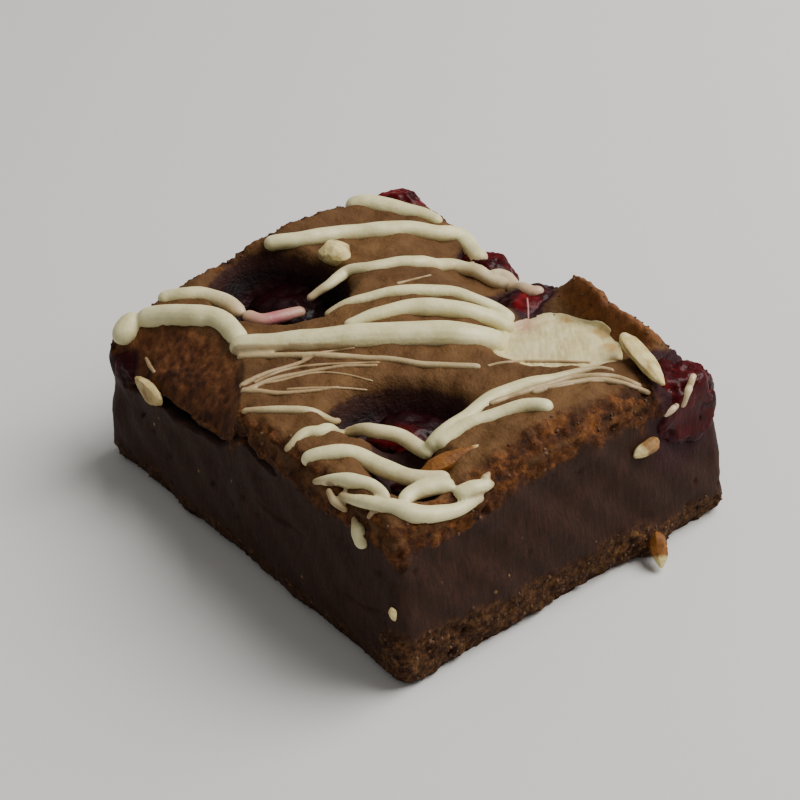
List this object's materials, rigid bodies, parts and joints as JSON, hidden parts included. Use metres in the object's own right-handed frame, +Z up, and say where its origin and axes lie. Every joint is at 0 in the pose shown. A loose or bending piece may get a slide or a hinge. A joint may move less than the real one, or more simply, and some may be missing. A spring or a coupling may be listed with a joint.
{
  "type": "black forest brownie",
  "caption": "Cut square of fudge brownie with cherries sunk in its crust, chopped almonds and white chocolate drizzle.",
  "frame": {"origin": "middle of the flat base", "axes": "+Z up, +Y along the long side, the two cut faces that the picture shows look along -X and -Y"},
  "size_m": [0.0657, 0.0878, 0.0317],
  "materials": {
    "brownie": "dark fudge crumb with a satin mid-brown crust and fused white chocolate strands",
    "white_chocolate": "smooth cream white chocolate, satin",
    "cherry": "glossy dark red fruit",
    "almond": "cream chopped almond with toasted edges"
  },
  "bodies": {
    "root": {"brownie": "brownie", "white_chocolate_pool": "white_chocolate", "cherry_left_pit": "cherry", "cherry_front_pit": "cherry", "cherry_front_arm": "cherry", "cherry_back_right": "cherry", "cherry_back_edge": "cherry", "cherry_back_corner": "cherry", "cherry_right_corner": "cherry", "cherry_left_corner": "cherry", "almond_chunk": "almond", "almond_sliver_right": "almond", "almond_sliver_left": "almond", "almond_front_pit": "almond", "almond_right_face": "almond", "almond_base": "almond", "almond_front_crumb": "almond"}
  },
  "joints": []
}
